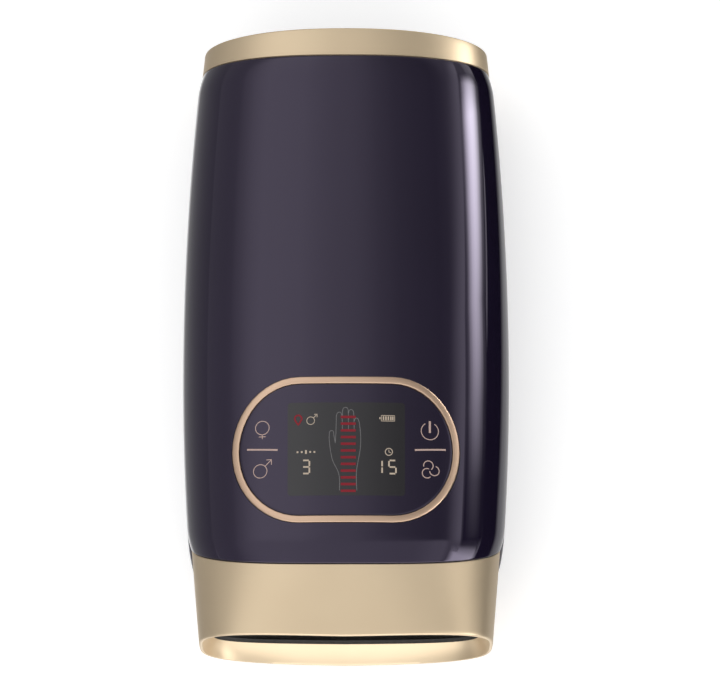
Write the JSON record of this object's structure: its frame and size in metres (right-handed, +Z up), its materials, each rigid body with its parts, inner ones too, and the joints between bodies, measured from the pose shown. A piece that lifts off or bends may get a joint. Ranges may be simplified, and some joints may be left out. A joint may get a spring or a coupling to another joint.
{
  "type": "hand massager",
  "caption": "Barrel-shaped air-pressure hand massager with an open funnel mouth, gloss housing, metallic collar and oval touch panel.",
  "frame": {"origin": "centre of the footprint, on the surface that the feet stand on", "axes": "+Z up, +X across the hand, +Y along the hand from the open mouth toward the closed end"},
  "size_m": [0.1498, 0.2842, 0.1005],
  "materials": {
    "gloss_purple": "deep purple gloss moulding",
    "champagne": "champagne metallic lacquer, satin",
    "rose_plate": "rose-gold plated, polished",
    "smoked_lens": "smoked, polished, printed from behind",
    "black_plastic": "moulded",
    "white_plastic": "moulded",
    "board": "solder mask over glass laminate",
    "cell_cloth": "coated, welded seams",
    "pad_cloth": "brushed knit over foam",
    "film": "polyimide heating film",
    "battery_foil": "foil pouch",
    "steel": "bright",
    "brass": "turned",
    "rubber": "matt",
    "hose": "clear silicone"
  },
  "bodies": {
    "housing": {"upper_shell": "gloss_purple", "lower_shell": "gloss_purple", "front_collar": "champagne", "rear_band": "champagne", "end_cover": "gloss_purple", "charge_socket": "steel", "panel_lens": "smoked_lens", "panel_trim": "rose_plate", "display_module": "black_plastic", "display_board": "board", "main_board": "board", "ribbon_cable": "white_plastic", "touch_contact_1": "rubber", "touch_contact_2": "rubber", "touch_contact_3": "rubber", "touch_contact_4": "rubber", "upper_frame": "white_plastic", "lower_frame": "white_plastic", "rear_bulkhead": "white_plastic", "wrist_cell": "cell_cloth", "palm_cell": "cell_cloth", "finger_cell": "cell_cloth", "lower_cell": "cell_cloth", "side_liner_left": "pad_cloth", "side_liner_right": "pad_cloth", "end_liner": "pad_cloth", "battery": "battery_foil", "pump_motor": "steel", "pump_head": "black_plastic", "pump_saddle": "rubber", "air_rail": "white_plastic", "valve_body_1": "black_plastic", "valve_body_2": "black_plastic", "valve_body_3": "black_plastic", "valve_spring_1": "steel", "valve_spring_2": "steel", "valve_spring_3": "steel", "finger_hose": "hose", "palm_hose": "hose", "wrist_hose": "hose", "lower_hose": "hose", "pump_hose": "hose", "foot_1": "rubber", "foot_2": "rubber", "foot_3": "rubber", "foot_4": "rubber", "base_screw_1": "steel", "base_screw_2": "steel", "base_screw_3": "steel", "base_screw_4": "steel"},
    "wrist_cushion": {"wrist_pad": "pad_cloth"},
    "palm_cushion": {"palm_pad": "pad_cloth"},
    "finger_cushion": {"finger_pad": "pad_cloth"},
    "hand_rest": {"palm_rest": "pad_cloth", "heating_film": "film"},
    "pump_shaft": {"pump_rotor": "brass"},
    "plunger_1": {"valve_plunger_1": "steel"},
    "plunger_2": {"valve_plunger_2": "steel"},
    "plunger_3": {"valve_plunger_3": "steel"}
  },
  "joints": [
    {"name": "wrist_press", "type": "slide", "parent": "housing", "child": "wrist_cushion", "axis": [0, 0, -1], "range_m": [0, 0.014], "stiffness_N_per_m": 300, "springref_m": -0.004, "deforming": ["wrist_cell"]},
    {"name": "palm_press", "type": "slide", "parent": "housing", "child": "palm_cushion", "axis": [0, 0, -1], "range_m": [0, 0.014], "stiffness_N_per_m": 300, "springref_m": -0.004, "deforming": ["palm_cell"]},
    {"name": "finger_press", "type": "slide", "parent": "housing", "child": "finger_cushion", "axis": [0, 0, -1], "range_m": [0, 0.014], "stiffness_N_per_m": 300, "springref_m": -0.004, "deforming": ["finger_cell"]},
    {"name": "rest_lift", "type": "slide", "parent": "housing", "child": "hand_rest", "axis": [0, 0, 1], "range_m": [0, 0.008], "stiffness_N_per_m": 300, "springref_m": -0.004, "deforming": ["lower_cell"]},
    {"name": "pump_spin", "type": "hinge", "parent": "housing", "child": "pump_shaft", "pos_m": [0, 0.11, 0.0265], "axis": [1, 0, 0], "continuous": true},
    {"name": "valve_pull_1", "type": "slide", "parent": "housing", "child": "plunger_1", "axis": [0, 0, -1], "range_m": [0, 0.0015], "stiffness_N_per_m": 150, "springref_m": -0.003, "deforming": ["valve_spring_1"]},
    {"name": "valve_pull_2", "type": "slide", "parent": "housing", "child": "plunger_2", "axis": [0, 0, -1], "range_m": [0, 0.0015], "stiffness_N_per_m": 150, "springref_m": -0.003, "deforming": ["valve_spring_2"]},
    {"name": "valve_pull_3", "type": "slide", "parent": "housing", "child": "plunger_3", "axis": [0, 0, -1], "range_m": [0, 0.0015], "stiffness_N_per_m": 150, "springref_m": -0.003, "deforming": ["valve_spring_3"]}
  ]
}
